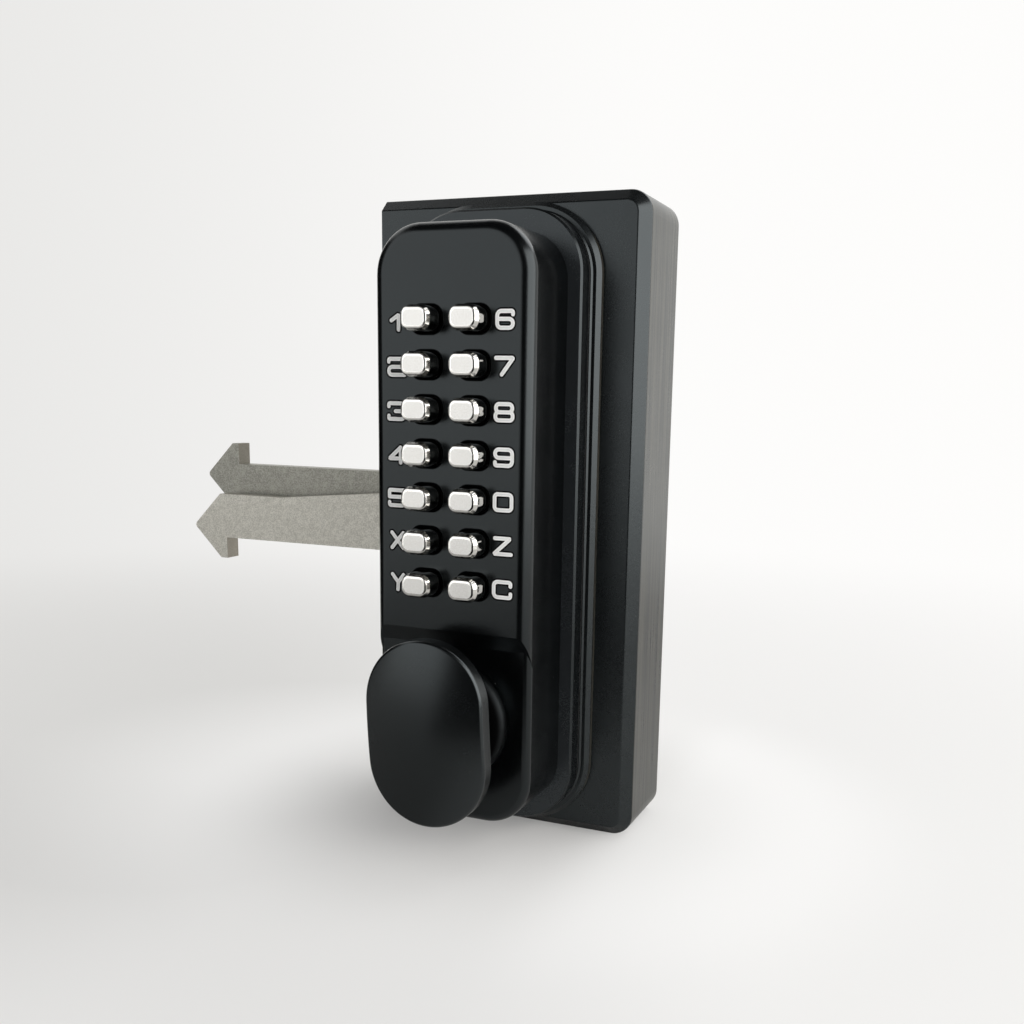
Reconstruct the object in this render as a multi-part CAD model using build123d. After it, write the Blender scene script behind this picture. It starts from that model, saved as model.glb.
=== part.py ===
"""Keypad gate lock: a box that bolts to the stile of a sliding gate, with a
fourteen-button mechanical keypad and knob on its front, and two hook bolts
that leave its left face and pinch together when the knob is turned.

Frame: the origin is the middle of the left face, which meets the gate.
+X runs right, away from the gate, +Y runs back, +Z runs up. Millimetres.
"""
import os
from math import cos, pi, radians, sin, sqrt, tan

from build123d import *

# Lock case
CASE_W = 90.5
CASE_D = 31.2
CASE_H = 203.0
CASE_EDGE = 3.4            # bevel round the front face, not on the gate side
CASE_CORNER_R = 7.0        # right-hand corners only
GATE_WALL = 8.0
CASE_WALL = 5.0
CASE_SOFT = 0.8            # the bevel's two edges are rounded a little
COVER_T = 3.0
COVER_LEDGE = 2.5
COVER_GAP = 0.1
COVER_SCREW_R = 2.0
COVER_SCREW_HEAD_R = 4.4
COVER_SCREW_L = 12.0
FIXING_SPACING = 120.0     # the two M10 fixings in the gate-side wall
FIXING_R = 4.25

# Keypad stack, front to back
KEYPAD_X = 44.25           # middle of the keypad, from the gate-side face
KEYPAD_W = 50.7
KEYPAD_H = 176.8
KEYPAD_R = 14.5
KEYPAD_DEPTH = 25.9
KEYPAD_FILLET = 3.7
KEYPAD_WALL = 2.6
KEYPAD_FRONT_WALL = 4.4
PLATE_MARGIN = 4.5         # base plate beyond the housing, at its sides
PLATE_END_MARGIN = 6.9     # and at its top and bottom
PLATE_T = 5.9
PLATE_CHAMFER = 0.6
WINDOW_W = 36.0            # opening behind the code chamber, to set the code
WINDOW_H = 96.0
GASKET_INSET = 0.3         # the gasket lies this far inside the base plate's edge
GASKET_T = 1.3
PAD_MARGIN = 2.85          # pad beyond the base plate
PAD_T = 3.9
PAD_BEVEL = 1.3
SEAT_MARGIN = 0.5          # raised seat on the pad, beyond the base plate
SEAT_T = 0.6
RECESS = 2.1               # the housing is this much lower round the knob
RECESS_TOP_Z = -29.1
RECESS_RAMP = 4.7
RECESS_FILLET = 2.2        # round the edge of the lower face

# Buttons: two columns of seven
ROWS = 7
ROW_PITCH = 12.7
COLUMN_PITCH = 15.24
TOP_ROW_Z = 61.3
BUTTON_W = 9.5
BUTTON_H = 7.2
BUTTON_CORNER = 3.0
BUTTON_PROUD = 7.8
BUTTON_BEVEL = 0.7         # the bevel takes this much off the face, on each side
BUTTON_BEVEL_DEPTH = 1.4
BUTTON_EDGE = 0.3          # rounding between face and bevel
BUTTON_SHOULDER = 0.8      # rounding between bevel and side
BUTTON_GAP = 0.3           # clear space round the button in its hole
HOLE_MOUTH = 0.35
BUTTON_TRAVEL = 3.5
STEM_R = 2.5
COLLAR_T = 1.2
COLLAR_LIP = 1.5           # the collar is this much wider than the head, all round
STOP_GAP = 0.4             # between a fully pressed collar and the code chamber
LEGENDS = ("1", "2", "3", "4", "5", "x", "y", "6", "7", "8", "9", "0", "z", "c")

# Knob and spindle
KNOB_Z = -57.0
KNOB_W = 38.1
KNOB_H = 56.0
KNOB_RIM = 4.8
KNOB_ROUND = 1.1
KNOB_CROWN = 2.3           # the face stands this much prouder in its middle
KNOB_TILT = 3.1            # degrees off upright at rest, anticlockwise
KNOB_FRONT = 18.2          # rim of the face, in front of the recessed face
KNOB_TURN = 60.0
NECK_R = 13.2
NECK_FLARE_R = 15.5
NECK_FLARE = 3.5           # length of the flare
BOSS_R = 13.7
BOSS_ROOT = 4.6            # concave rounding where the boss meets the face
BOSS_PROUD = 5.2
SPINDLE_R = 6.0
SPINDLE_SQUARE = 8.0
SPINDLE_TAIL_R = 3.5
BUSH_R = 8.0
BUSH_FLANGE_T = 2.0
CLIP_T = 1.0
CLIP_SEAT_R = 5.2

# Code chamber, behind the buttons
CHAMBER_HALF_W = 21.0
CHAMBER_T = 8.0
CHAMBER_ABOVE = 13.0       # over the top row's centre, and as much below the last row's
SPRING_BORE_R = 4.2
SPRING_BORE_DEPTH = 5.0
LID_T = 1.2
SLIDE_T = 2.0
SLIDE_HALF_W = 14.0
SLIDE_LIFT = 3.2           # for the whole turn of the knob
SLIDE_TOP = 4.7            # above the top row's centre
SLIDE_FOOT_H = 8.0         # the foot's underside, above the spindle's axis
CAM_HUB_R = 7.0

# Hook bolts
HOOK_Z = -0.4
HOOK_T = 6.3
HOOK_GAP = 2.3
HOOK_PIVOT_X = 30.0
HOOK_SWING = 5.5           # degrees, each, for the whole turn of the knob
HOOK_TIP_X = -87.4
HOOK_TIP_H = 9.3           # heights here are measured from the pivot's level
HOOK_BACK_H = 2.75
HOOK_ARM_H = 13.4
HOOK_BARB_H = 21.1
HOOK_BARB_X = -72.8
HOOK_FLAT_END_X = -48.5
HOOK_SLOPE = tan(radians(5.0))
TAIL_END_X = 80.5
TAIL_INNER_H = 5.3
TAIL_OUTER_H = 13.4
PIN_R = 5.0
CAM_X = 58.0
CAM_HALF_W = 7.6
CAM_HALF_H = 5.0
CAM_SHAFT_R = 4.0
CRANK_R = 12.0
CRANK_START = 30.0         # degrees above level at rest
CRANK_T = 2.0
CRANK_HUB = 6.0
CRANK_PIN_R = 2.0
LINK_END_R = 3.4
SPRING_POST_R = 1.2
SPRING_R = 1.0

# Fits and clearances, on the radius or per side
RUN = 0.05
CLEAR = 0.3
SLOT_GAP = 0.85            # beside the hooks in the gate-side wall
SOCKET_DEPTH = 3.0         # of the hook pin and the cam's shaft, in the front wall

# Screws and the posts they go into
SCREW_PILLAR_R = 4.5
FIXING_POST_R = 5.4
FIXING_SCREW_R = 2.5
FIXING_SCREW_HOLE_R = 2.6
FIXING_HEAD_R = 4.25
FIXING_HEAD_T = 3.0
FIXING_THREAD = 12.0
CHAMBER_POST_R = 3.5
CHAMBER_SCREW_R = 1.5
SPINDLE_HOLE_R = 6.6
BOSS_LIP = 0.8             # rounding of the boss's outer edge

# Levels from front to back
CASE_FRONT = -CASE_D / 2
CASE_BACK = CASE_D / 2
CAVITY_FRONT = CASE_FRONT + CASE_WALL
CAVITY_BACK = CASE_BACK - COVER_T
CAVITY_W = CASE_W - GATE_WALL - CASE_WALL
CAVITY_H = CASE_H - 2 * CASE_WALL
CAVITY_X = GATE_WALL + CAVITY_W / 2
CAVITY_R = 4.0
PAD_FRONT = CASE_FRONT - PAD_T
GASKET_FRONT = PAD_FRONT - GASKET_T
PLATE_FRONT = GASKET_FRONT - PLATE_T
KEYPAD_FACE = PLATE_FRONT - KEYPAD_DEPTH
RECESS_FACE = KEYPAD_FACE + RECESS
KEYPAD_INSIDE = KEYPAD_FACE + KEYPAD_FRONT_WALL
COLLAR_BACK = KEYPAD_INSIDE + COLLAR_T
CHAMBER_FRONT = COLLAR_BACK + BUTTON_TRAVEL + STOP_GAP
CHAMBER_BACK = CHAMBER_FRONT + CHAMBER_T
SLIDE_FRONT = CHAMBER_BACK + 0.1
SLIDE_BACK = SLIDE_FRONT + SLIDE_T
LID_FRONT = SLIDE_BACK + 0.1
LID_BACK = LID_FRONT + LID_T
KNOB_RIM_FACE = RECESS_FACE - KNOB_FRONT
BOSS_FACE = RECESS_FACE - BOSS_PROUD
NECK_END = BOSS_FACE - 0.4
SPINDLE_FRONT = KNOB_RIM_FACE + 1.5
SPINDLE_SHOULDER = KEYPAD_INSIDE + 6.0
HOOK_FACE = HOOK_GAP / 2 + HOOK_T
CRANK_FRONT = HOOK_FACE + CLEAR
CRANK_BACK = CRANK_FRONT + CRANK_T
LINK_FRONT = CRANK_BACK + 0.2
LINK_BACK = LINK_FRONT + CRANK_T
COVER_SOCKET = CAVITY_BACK + 1.5
SHAFT_END = COVER_SOCKET - 0.2

parts = {}


def slab(sketch, front, back):
    """Extrude a sketch drawn in X and Z from one depth to another."""
    plane = Plane(origin=(0, back, 0), x_dir=(1, 0, 0), z_dir=(0, -1, 0))
    return extrude(plane * sketch, back - front)


def block(x0, x1, y0, y1, z0, z1):
    """A plain box between two corners."""
    size = (x1 - x0, y1 - y0, z1 - z0)
    return Pos((x0 + x1) / 2, (y0 + y1) / 2, (z0 + z1) / 2) * Box(*size)


def rod(radius, front, back, x, z):
    """A round bar along Y."""
    return Pos(x, (front + back) / 2, z) * Rot(90, 0, 0) * Cylinder(radius, back - front)


def square_bar(side, front, back, x, z):
    return block(x - side / 2, x + side / 2, front, back, z - side / 2, z + side / 2)


def rounded(width, height, radius, x, z):
    return Pos(x, z) * RectangleRounded(width, height, radius)


def keypad_outline(inset=0.0):
    """The housing's rounded outline, or one a little inside it."""
    return rounded(KEYPAD_W - 2 * inset, KEYPAD_H - 2 * inset, KEYPAD_R - inset, KEYPAD_X, 0)


def plate_outline(margin=0.0):
    """The base plate's outline, grown by a margin."""
    side, end = PLATE_MARGIN + margin, PLATE_END_MARGIN + margin
    return rounded(KEYPAD_W + 2 * side, KEYPAD_H + 2 * end, KEYPAD_R + side, KEYPAD_X, 0)


def turned(x, z, angle, radius):
    """A point at an angle above +X on a circle about (x, z)."""
    return x + radius * cos(radians(angle)), z + radius * sin(radians(angle))


def edges_at(part, level):
    """The edges of a part that lie in one plane across Y."""
    flat = [e for e in part.edges() if e.bounding_box().size.Y < 1e-3]
    return [e for e in flat if abs(e.center().Y - level) < 1e-3]


SCREW_SPOTS = [(x, z) for x in (12.0, 81.5) for z in (92.5, 35.0, -35.0, -92.5)]
KEYPAD_FIXINGS = [(KEYPAD_X, 81.0), (KEYPAD_X, -81.0)]
CHAMBER_TOP = TOP_ROW_Z + CHAMBER_ABOVE
CHAMBER_LOW = TOP_ROW_Z - (ROWS - 1) * ROW_PITCH - CHAMBER_ABOVE
CHAMBER_FIXINGS = [(KEYPAD_X + s * 17.8, z) for s in (-1, 1) for z in (CHAMBER_TOP - 4, CHAMBER_LOW + 4)]
COLUMNS = (KEYPAD_X - COLUMN_PITCH / 2, KEYPAD_X + COLUMN_PITCH / 2)
BUTTON_SPOTS = [(x, TOP_ROW_Z - i * ROW_PITCH) for x in COLUMNS for i in range(ROWS)]
DRIVE_PIN = turned(KEYPAD_X, KNOB_Z, CRANK_START, CRANK_R)
CAM_PIN = turned(CAM_X, HOOK_Z, CRANK_START, CRANK_R)


def make_case():
    """The lock case: bevelled front, raised pad, gate-side wall with slot and fixings."""
    with BuildSketch() as outline:
        with Locations((CASE_W / 2, 0)):
            Rectangle(CASE_W, CASE_H)
        right = outline.vertices().group_by(Axis.X)[-1]
        fillet(right, CASE_CORNER_R)
    case = slab(outline.sketch, CASE_FRONT, CASE_BACK)
    bevelled = [e for e in edges_at(case, CASE_FRONT) if e.center().X > 0.1]
    case = chamfer(bevelled, CASE_EDGE)
    softened = edges_at(case, CASE_FRONT) + edges_at(case, CASE_FRONT + CASE_EDGE)
    case = fillet([e for e in softened if e.center().X > 0.1], CASE_SOFT)
    pad = slab(plate_outline(PAD_MARGIN), PAD_FRONT + SEAT_T, CASE_FRONT + CASE_SOFT)
    pad = chamfer(edges_at(pad, PAD_FRONT + SEAT_T), PAD_BEVEL)
    seat = slab(plate_outline(SEAT_MARGIN), PAD_FRONT, PAD_FRONT + SEAT_T)
    seat = chamfer(edges_at(seat, PAD_FRONT), SEAT_T - 0.1)
    cavity = slab(rounded(CAVITY_W, CAVITY_H, CAVITY_R, CAVITY_X, 0), CAVITY_FRONT, CASE_BACK)
    rebate_size = (CAVITY_W + 2 * COVER_LEDGE, CAVITY_H + 2 * COVER_LEDGE)
    rebate = slab(rounded(*rebate_size, CAVITY_R + 1.0, CAVITY_X, 0), CAVITY_BACK, CASE_BACK)
    case = case + pad + seat - cavity - rebate
    for x, z in SCREW_SPOTS:
        case += rod(SCREW_PILLAR_R, CAVITY_FRONT, CAVITY_BACK, x, z)
    for x, z in SCREW_SPOTS:
        case -= rod(COVER_SCREW_R, CASE_BACK - COVER_SCREW_L, CAVITY_BACK, x, z)
    # Slot for the hooks, the two fixings, and the sockets of pin, cam and spindle
    slot_y, slot_z = HOOK_FACE + SLOT_GAP, HOOK_ARM_H + 1.0
    slot = block(-1, GATE_WALL + 1, -slot_y, slot_y, HOOK_Z - slot_z, HOOK_Z + slot_z)
    case -= fillet(slot.edges().filter_by(Axis.X), 2.0)
    for z in (-FIXING_SPACING / 2, FIXING_SPACING / 2):
        case -= Pos(GATE_WALL / 2, 0, z) * Rot(0, 90, 0) * Cylinder(FIXING_R, GATE_WALL)
    case -= rod(PIN_R, CAVITY_FRONT - SOCKET_DEPTH, CAVITY_FRONT, HOOK_PIVOT_X, HOOK_Z)
    case -= rod(CAM_SHAFT_R + RUN, CAVITY_FRONT - SOCKET_DEPTH, CAVITY_FRONT, CAM_X, HOOK_Z)
    case -= rod(SPINDLE_HOLE_R, PAD_FRONT, CAVITY_FRONT, KEYPAD_X, KNOB_Z)
    for x, z in KEYPAD_FIXINGS:
        case -= rod(FIXING_SCREW_HOLE_R, PAD_FRONT, CAVITY_FRONT, x, z)
    parts["case_body"] = case


def make_back_cover():
    """Flat plate let into the back of the case, with the rear sockets of the shafts."""
    width = CAVITY_W + 2 * (COVER_LEDGE - COVER_GAP)
    height = CAVITY_H + 2 * (COVER_LEDGE - COVER_GAP)
    cover = slab(rounded(width, height, CAVITY_R + 0.9, CAVITY_X, 0), CAVITY_BACK, CASE_BACK)
    neck_r = COVER_SCREW_R + 0.2
    sink = COVER_SCREW_HEAD_R - neck_r
    head = Rot(-90, 0, 0) * Cone(neck_r, COVER_SCREW_HEAD_R, sink)
    screws = []
    for x, z in SCREW_SPOTS:
        placed = Pos(x, CASE_BACK - sink / 2, z) * head
        cover -= rod(neck_r, CAVITY_BACK, CASE_BACK, x, z) + placed
        shank = rod(COVER_SCREW_R, CASE_BACK - COVER_SCREW_L, CASE_BACK - sink, x, z)
        drive = square_bar(COVER_SCREW_R, CASE_BACK - 1.2, CASE_BACK, x, z)
        screws.append(placed + shank - drive)
    cover -= rod(PIN_R, CAVITY_BACK, COVER_SOCKET, HOOK_PIVOT_X, HOOK_Z)
    cover -= rod(CAM_SHAFT_R + RUN, CAVITY_BACK, COVER_SOCKET, CAM_X, HOOK_Z)
    cover -= rod(SPINDLE_TAIL_R + RUN, CAVITY_BACK, COVER_SOCKET, KEYPAD_X, KNOB_Z)
    parts["back_cover"] = cover
    parts["cover_screws"] = Compound(children=screws)


def knob_end_cutter():
    """Everything in front of the ramp that leads down to the face round the knob."""
    slope = RECESS_RAMP / RECESS
    deep = KEYPAD_FACE + KEYPAD_FILLET + 1
    with BuildSketch(Plane.YZ) as step:
        with BuildLine():
            Polyline(
                (KEYPAD_FACE - 1, RECESS_TOP_Z + slope),
                (deep, RECESS_TOP_Z - slope * (deep - KEYPAD_FACE)),
                (deep, -KEYPAD_H),
                (KEYPAD_FACE - 1, -KEYPAD_H),
                close=True,
            )
        make_face()
    return Pos(KEYPAD_X - KEYPAD_W, 0, 0) * extrude(step.sketch, 2 * KEYPAD_W)


def knob_boss():
    """The boss that carries the knob, with a wide concave rounding at its foot."""
    root = RECESS_FACE - BOSS_ROOT
    foot_r = BOSS_R + BOSS_ROOT
    with BuildSketch(Plane.XY) as profile:
        with BuildLine():
            Line((0, BOSS_FACE), (BOSS_R - BOSS_LIP, BOSS_FACE))
            RadiusArc((BOSS_R - BOSS_LIP, BOSS_FACE), (BOSS_R, BOSS_FACE + BOSS_LIP), BOSS_LIP)
            Line((BOSS_R, BOSS_FACE + BOSS_LIP), (BOSS_R, root))
            RadiusArc((BOSS_R, root), (foot_r, RECESS_FACE), -BOSS_ROOT)
            Polyline((foot_r, RECESS_FACE), (foot_r, RECESS_FACE + 1), (0, RECESS_FACE + 1), (0, BOSS_FACE))
        make_face()
    return Pos(KEYPAD_X, 0, KNOB_Z) * revolve(profile.sketch, Axis.Y, 360)


def make_keypad_shell():
    """The housing casting, base plate, gasket and the screws that hold them to the case."""
    upper = slab(keypad_outline(), KEYPAD_FACE, PLATE_FRONT)
    upper = fillet(edges_at(upper, KEYPAD_FACE), KEYPAD_FILLET)
    lower = slab(keypad_outline(), RECESS_FACE, PLATE_FRONT)
    lower = fillet(edges_at(lower, RECESS_FACE), RECESS_FILLET)
    housing = upper - knob_end_cutter() + lower + knob_boss()
    housing -= slab(keypad_outline(KEYPAD_WALL), KEYPAD_INSIDE, PLATE_FRONT)
    for x, z in KEYPAD_FIXINGS:
        post = rod(FIXING_POST_R, KEYPAD_INSIDE, PLATE_FRONT, x, z)
        housing += post - rod(FIXING_SCREW_R, PLATE_FRONT - FIXING_THREAD, PLATE_FRONT, x, z)
    for x, z in CHAMBER_FIXINGS:
        post = rod(CHAMBER_POST_R, KEYPAD_INSIDE, CHAMBER_FRONT, x, z)
        housing += post - rod(CHAMBER_SCREW_R, KEYPAD_INSIDE, CHAMBER_FRONT, x, z)
    grow = 2 * BUTTON_GAP
    hole_r = BUTTON_CORNER + BUTTON_GAP
    hole = RectangleRounded(BUTTON_W + grow, BUTTON_H + grow, hole_r)
    grow += 2 * HOLE_MOUTH
    mouth = RectangleRounded(BUTTON_W + grow, BUTTON_H + grow, hole_r + HOLE_MOUTH)
    cutters = []
    for x, z in BUTTON_SPOTS:
        cutters.append(slab(Pos(x, z) * hole, KEYPAD_FACE, KEYPAD_INSIDE))
        front, behind = (
            Plane(origin=(x, level, z), x_dir=(1, 0, 0), z_dir=(0, -1, 0))
            for level in (KEYPAD_FACE, KEYPAD_FACE + HOLE_MOUTH)
        )
        cutters.append(loft([front * mouth, behind * hole]))
    housing -= cutters
    housing -= rod(BUSH_R, BOSS_FACE, KEYPAD_INSIDE, KEYPAD_X, KNOB_Z)
    parts["keypad_housing"] = housing

    plate = slab(plate_outline(), PLATE_FRONT, GASKET_FRONT)
    plate = chamfer(edges_at(plate, PLATE_FRONT), PLATE_CHAMFER)
    gasket = slab(plate_outline(-GASKET_INSET), GASKET_FRONT, PAD_FRONT)
    plate -= rod(SPINDLE_HOLE_R, PLATE_FRONT, GASKET_FRONT, KEYPAD_X, KNOB_Z)
    gasket -= rod(SPINDLE_HOLE_R, GASKET_FRONT, PAD_FRONT, KEYPAD_X, KNOB_Z)
    screws = []
    for x, z in KEYPAD_FIXINGS:
        plate -= rod(FIXING_SCREW_HOLE_R, PLATE_FRONT, GASKET_FRONT, x, z)
        gasket -= rod(FIXING_SCREW_HOLE_R, GASKET_FRONT, PAD_FRONT, x, z)
        shank = rod(FIXING_SCREW_R, PLATE_FRONT - FIXING_THREAD + 2, CAVITY_FRONT, x, z)
        head = rod(FIXING_HEAD_R, CAVITY_FRONT, CAVITY_FRONT + FIXING_HEAD_T, x, z)
        head -= square_bar(FIXING_SCREW_R * 1.6, CAVITY_FRONT + 1, CAVITY_FRONT + FIXING_HEAD_T, x, z)
        screws.append(shank + head)
    window = rounded(WINDOW_W, WINDOW_H, 4.0, KEYPAD_X, (CHAMBER_TOP + CHAMBER_LOW) / 2)
    plate -= slab(window, PLATE_FRONT, GASKET_FRONT)
    gasket -= slab(window, GASKET_FRONT, PAD_FRONT)
    parts["base_plate"] = plate
    parts["gasket"] = gasket
    parts["keypad_screws"] = Compound(children=screws)


def make_code_chamber():
    """The block that guides the button stems, the lock plate behind it, and its lid."""
    x0, x1 = KEYPAD_X - CHAMBER_HALF_W, KEYPAD_X + CHAMBER_HALF_W
    guide = SLIDE_HALF_W + 0.2
    chamber = block(x0, x1, CHAMBER_FRONT, CHAMBER_BACK, CHAMBER_LOW, CHAMBER_TOP)
    chamber += block(x0, KEYPAD_X - guide, CHAMBER_BACK, LID_FRONT, CHAMBER_LOW, CHAMBER_TOP)
    chamber += block(KEYPAD_X + guide, x1, CHAMBER_BACK, LID_FRONT, CHAMBER_LOW, CHAMBER_TOP)
    chamber += block(x0, x1, CHAMBER_BACK, LID_FRONT, CHAMBER_TOP - 2, CHAMBER_TOP)
    chamber -= [rod(STEM_R + RUN, CHAMBER_FRONT, CHAMBER_BACK, x, z) for x, z in BUTTON_SPOTS]
    bore_back = CHAMBER_FRONT + SPRING_BORE_DEPTH
    chamber -= [rod(SPRING_BORE_R, CHAMBER_FRONT, bore_back, x, z) for x, z in BUTTON_SPOTS]
    screw_hole_r = CHAMBER_SCREW_R + 0.1
    chamber -= [rod(screw_hole_r, CHAMBER_FRONT, LID_FRONT, x, z) for x, z in CHAMBER_FIXINGS]
    parts["code_chamber"] = chamber

    lid = block(x0, x1, LID_FRONT, LID_BACK, CHAMBER_LOW, CHAMBER_TOP)
    lid -= [rod(STEM_R + 0.5, LID_FRONT, LID_BACK, x, z) for x, z in BUTTON_SPOTS]
    lid -= [rod(screw_hole_r, LID_FRONT, LID_BACK, x, z) for x, z in CHAMBER_FIXINGS]
    parts["chamber_lid"] = lid
    screws = []
    for x, z in CHAMBER_FIXINGS:
        shank = rod(CHAMBER_SCREW_R, KEYPAD_INSIDE + 0.5, LID_BACK, x, z)
        screws.append(shank + rod(2.8, LID_BACK, LID_BACK + 1.8, x, z))
    parts["chamber_screws"] = Compound(children=screws)


def make_lock_plate():
    """Sliding plate with a slot for each stem, lifted by a cam on the spindle."""
    x, z = KEYPAD_X, KNOB_Z
    top = TOP_ROW_Z + SLIDE_TOP
    foot = z + SLIDE_FOOT_H
    plate = block(x - SLIDE_HALF_W, x + SLIDE_HALF_W, SLIDE_FRONT, SLIDE_BACK, CHAMBER_LOW + 2, top)
    plate += block(x - 9, x + 3, SLIDE_FRONT, SLIDE_BACK, foot, CHAMBER_LOW + 2)
    slot = Rot(0, 0, 90) * SlotCenterToCenter(SLIDE_LIFT, 2 * (STEM_R + 0.4))
    plate -= [slab(Pos(bx, bz - SLIDE_LIFT / 2) * slot, SLIDE_FRONT, SLIDE_BACK) for bx, bz in BUTTON_SPOTS]
    parts["lock_plate"] = plate
    spring_y = (SLIDE_FRONT + SLIDE_BACK) / 2
    parts["lock_plate_spring"] = Pos(x, spring_y, top) * extrude(Circle(SPRING_R), CHAMBER_TOP - 2 - top)
    # The cam's flank lifts a flat foot in even steps, so its support height is linear in angle
    rise = SLIDE_LIFT / radians(KNOB_TURN)
    flank = []
    for degrees_up in range(75, 166, 10):
        a = radians(degrees_up)
        height = SLIDE_FOOT_H - CLEAR + rise * (a - pi / 2)
        flank.append((height * cos(a) - rise * sin(a), height * sin(a) + rise * cos(a)))
    with BuildSketch() as profile:
        with BuildLine():
            Spline(*flank)
            Polyline(flank[-1], (0, 0), flank[0])
        make_face()
        Circle(CAM_HUB_R)
    cam = slab(Pos(x, z) * profile.sketch, SLIDE_FRONT, SLIDE_BACK)
    cam += rod(CAM_HUB_R, SPINDLE_SHOULDER, SLIDE_FRONT, x, z)
    parts["lock_plate_cam"] = cam - square_bar(SPINDLE_SQUARE, SPINDLE_SHOULDER, SLIDE_BACK, x, z)


def make_buttons():
    """Fourteen buttons: rounded head, retaining collar and stem, each with its spring."""
    tip = KEYPAD_FACE - BUTTON_PROUD
    spring_back = CHAMBER_FRONT + SPRING_BORE_DEPTH
    for legend, (x, z) in zip(LEGENDS, BUTTON_SPOTS):
        head = slab(rounded(BUTTON_W, BUTTON_H, BUTTON_CORNER, x, z), tip, KEYPAD_INSIDE)
        face = head.faces().sort_by(Axis.Y)[0]
        head = chamfer(edges_at(head, tip), BUTTON_BEVEL, BUTTON_BEVEL_DEPTH, reference=face)
        head = fillet(edges_at(head, tip + BUTTON_BEVEL_DEPTH), BUTTON_SHOULDER)
        head = fillet(edges_at(head, tip), BUTTON_EDGE)
        collar = rounded(BUTTON_W + 2 * COLLAR_LIP, BUTTON_H + 2 * COLLAR_LIP, BUTTON_CORNER, x, z)
        collar = slab(collar, KEYPAD_INSIDE, COLLAR_BACK)
        stem = rod(STEM_R, COLLAR_BACK, LID_FRONT + 0.8, x, z)
        parts["button_" + legend] = head + collar + stem
        spring = rod(3.5, COLLAR_BACK, spring_back, x, z)
        parts["button_spring_" + legend] = spring - rod(2.8, COLLAR_BACK, spring_back, x, z)


def make_knob():
    """Long rounded knob with a crowned face on a flared neck, turned a little at rest."""
    back = KNOB_RIM_FACE + KNOB_RIM
    head = slab(SlotOverall(KNOB_H, KNOB_W, rotation=90), KNOB_RIM_FACE - KNOB_CROWN - 1, back)
    # Crown: a barrel whose sag is KNOB_CROWN at the sides and at both ends
    across = ((KNOB_W / 2) ** 2 + KNOB_CROWN ** 2) / (2 * KNOB_CROWN)
    along = ((KNOB_H / 2) ** 2 + KNOB_CROWN ** 2) / (2 * KNOB_CROWN)
    top = KNOB_RIM_FACE - KNOB_CROWN
    reach = KNOB_H
    shallow, axle = top + along - sqrt(along ** 2 - reach ** 2), top + across
    with BuildSketch(Plane.YZ) as profile:
        with BuildLine():
            ThreePointArc((shallow, -reach), (top, 0), (shallow, reach))
            Polyline((shallow, reach), (axle, reach), (axle, -reach), (shallow, -reach))
        make_face()
    barrel = revolve(profile.sketch, Axis((0, axle, 0), (0, 0, 1)), 360)
    head = head & barrel
    rim = [e for e in head.edges() if e.bounding_box().max.Y < back - 1]
    head = fillet(rim, KNOB_ROUND)
    flare_end = back + NECK_FLARE
    with BuildSketch(Plane.XY) as flare:
        with BuildLine():
            Polyline((NECK_R, flare_end), (NECK_R, NECK_END), (0, NECK_END), (0, back), (NECK_FLARE_R, back))
            RadiusArc((NECK_FLARE_R, back), (NECK_R, flare_end), 5.0)
        make_face()
    knob = head + revolve(flare.sketch, Axis.Y, 360)
    knob -= square_bar(SPINDLE_SQUARE, SPINDLE_FRONT, NECK_END, 0, 0)
    parts["knob"] = Pos(KEYPAD_X, 0, KNOB_Z) * Rot(0, -KNOB_TILT, 0) * knob


def make_spindle():
    """Spindle, the bush it runs in, its clip and return spring, and the drive crank."""
    x, z = KEYPAD_X, KNOB_Z
    tilt = Pos(x, 0, z) * Rot(0, -KNOB_TILT, 0) * Pos(-x, 0, -z)
    spindle = tilt * square_bar(SPINDLE_SQUARE, SPINDLE_FRONT, NECK_END, x, z)
    spindle += rod(SPINDLE_R, NECK_END, SPINDLE_SHOULDER, x, z)
    spindle += square_bar(SPINDLE_SQUARE, SPINDLE_SHOULDER, CRANK_BACK, x, z)
    spindle += rod(SPINDLE_TAIL_R, CRANK_BACK, SHAFT_END, x, z)
    clip_front = KEYPAD_INSIDE + BUSH_FLANGE_T + 0.2
    clip_back = clip_front + CLIP_T
    spindle -= rod(SPINDLE_R + 1, clip_front, clip_back, x, z) - rod(CLIP_SEAT_R, clip_front, clip_back, x, z)
    parts["spindle"] = spindle
    bush = rod(BUSH_R, BOSS_FACE, KEYPAD_INSIDE, x, z)
    bush += rod(BUSH_R + 2.5, KEYPAD_INSIDE, KEYPAD_INSIDE + BUSH_FLANGE_T, x, z)
    parts["knob_bush"] = bush - rod(SPINDLE_R + RUN, BOSS_FACE, KEYPAD_INSIDE + BUSH_FLANGE_T, x, z)
    clip = rod(8.2, clip_front, clip_back, x, z) - rod(CLIP_SEAT_R, clip_front, clip_back, x, z)
    parts["retaining_clip"] = clip - block(x - 3.5, x + 3.5, clip_front, clip_back, z - 9, z)
    crank = slab(tangent_hull((x, z), 8.0, DRIVE_PIN, 4.0), CRANK_FRONT, CRANK_BACK)
    crank += rod(8.0, CRANK_FRONT - CRANK_HUB, CRANK_FRONT, x, z)
    crank += rod(CRANK_PIN_R, CRANK_BACK, LINK_BACK + 0.3, *DRIVE_PIN)
    parts["drive_crank"] = crank - square_bar(SPINDLE_SQUARE, CRANK_FRONT - CRANK_HUB, CRANK_BACK, x, z)


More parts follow.
